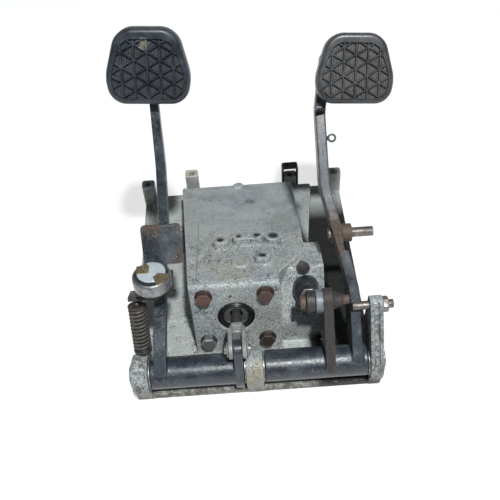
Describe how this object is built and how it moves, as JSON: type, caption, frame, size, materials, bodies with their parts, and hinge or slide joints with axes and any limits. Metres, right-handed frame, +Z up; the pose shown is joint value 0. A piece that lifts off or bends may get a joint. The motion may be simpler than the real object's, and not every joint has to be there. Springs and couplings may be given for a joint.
{
  "type": "pedal box",
  "caption": "Floor-hinged vehicle pedal box: cast wedge-shaped housing with a cross shaft, clutch pedal driving a hydraulic cylinder, brake pedal with push rod, helper spring and rubber pads.",
  "frame": {"origin": "on the underside of the base plate, straight below the middle of the cross shaft", "axes": "+X along the cross shaft towards the brake side, +Y away from the driver, +Z up from the base"},
  "size_m": [0.2586, 0.284, 0.3068],
  "materials": {
    "cast": "sand cast, dull and mottled by corrosion",
    "bright_alloy": "cast and turned",
    "dark_steel": "dark, worn",
    "plated_steel": "zinc plated, dull",
    "rusty_steel": "brown surface rust",
    "black_paint": "black paint, satin, chipped",
    "bush_bronze": "sintered bronze",
    "union_brass": "dull brass",
    "switch_plate": "bright zinc plating",
    "pad_rubber": "moulded tread, worn",
    "boot_rubber": "soft moulded",
    "guide_plastic": "moulded"
  },
  "bodies": {
    "housing": {"base_plate": "cast", "tower": "cast", "brake_lobe": "cast", "shaft_ears": "cast", "lugs": "cast", "roof_bosses": "cast", "pivot_shaft": "dark_steel", "shaft_rings": "plated_steel", "thrust_washers": "plated_steel", "face_bolts": "rusty_steel", "clutch_cylinder": "bright_alloy", "cylinder_ring": "plated_steel", "cylinder_boot": "boot_rubber", "cylinder_spring": "plated_steel", "cylinder_union": "union_brass", "brake_boot": "boot_rubber", "brake_guide": "guide_plastic", "blanking_plug": "dark_steel", "stop_pin": "plated_steel", "stop_nut": "plated_steel", "lug_clip": "dark_steel", "spring_ball": "plated_steel"},
    "clutch_pedal": {"clutch_tube": "black_paint", "clutch_bushes": "bush_bronze", "clutch_bar": "black_paint", "clutch_bracket": "black_paint", "clutch_arm": "black_paint", "clutch_pad_plate": "dark_steel", "clutch_pad": "pad_rubber", "clutch_lever": "black_paint", "clutch_pin": "plated_steel", "clutch_pin_clips": "plated_steel", "spring_arm": "dark_steel", "switch_bracket": "dark_steel", "switch_can": "switch_plate", "switch_seal": "boot_rubber", "switch_disc": "switch_plate", "switch_blades": "union_brass"},
    "clutch_rod": {"clutch_clevis": "plated_steel", "clutch_locknut": "plated_steel", "clutch_pushrod": "plated_steel"},
    "clutch_piston": {"clutch_piston": "plated_steel", "piston_seals": "boot_rubber"},
    "helper_spring": {"spring_lower_cup": "dark_steel", "helper_spring": "rusty_steel", "spring_upper_cup": "dark_steel"},
    "brake_pedal": {"brake_tube": "black_paint", "brake_bushes": "bush_bronze", "brake_lever": "rusty_steel", "brake_arm": "black_paint", "stud_collar": "rusty_steel", "brake_stud": "plated_steel", "brake_eyelet": "plated_steel", "brake_pad_plate": "dark_steel", "brake_pad": "pad_rubber", "brake_pin": "rusty_steel", "brake_pin_washer": "plated_steel"},
    "brake_rod": {"brake_rod_eye": "dark_steel", "brake_locknut": "plated_steel", "brake_pushrod": "plated_steel"}
  },
  "joints": [
    {"name": "clutch_pivot", "type": "hinge", "parent": "housing", "child": "clutch_pedal", "pos_m": [0, 0, 0.028], "axis": [-1, 0, 0], "range_deg": [0, 22], "stiffness_Nm_per_rad": 8, "springref_deg": -17.19, "deforming": ["cylinder_spring"]},
    {"name": "clutch_rod_pin", "type": "hinge", "parent": "clutch_pedal", "child": "clutch_rod", "pos_m": [-0.013, -0.00056, 0.05999], "axis": [1, 0, 0], "range_deg": [0, 22]},
    {"name": "clutch_piston_slide", "type": "slide", "parent": "housing", "child": "clutch_piston", "axis": [0, 0.9848, -0.1736], "range_m": [0, 0.01221]},
    {"name": "helper_spring_ball", "type": "hinge", "parent": "housing", "child": "helper_spring", "pos_m": [-0.102, 0.01478, 0.04562], "axis": [-1, 0, 0], "range_deg": [0, 32.16]},
    {"name": "brake_pivot", "type": "hinge", "parent": "housing", "child": "brake_pedal", "pos_m": [0, 0, 0.028], "axis": [-1, 0, 0], "range_deg": [0, 12], "stiffness_Nm_per_rad": 12, "springref_deg": -14.32, "deforming": ["brake_boot"]},
    {"name": "brake_rod_pin", "type": "hinge", "parent": "brake_pedal", "child": "brake_rod", "pos_m": [0.056, 0.02806, 0.08552], "axis": [1, 0, 0], "range_deg": [0, 12]}
  ],
  "couplings": [
    {"joint": "clutch_rod_pin", "follows": "clutch_pivot", "ratio": 1},
    {"joint": "clutch_piston_slide", "follows": "clutch_pivot", "m_per_rad": 0.031803},
    {"joint": "helper_spring_ball", "follows": "clutch_pivot", "ratio": 1.4613},
    {"joint": "brake_rod_pin", "follows": "brake_pivot", "ratio": 1}
  ]
}
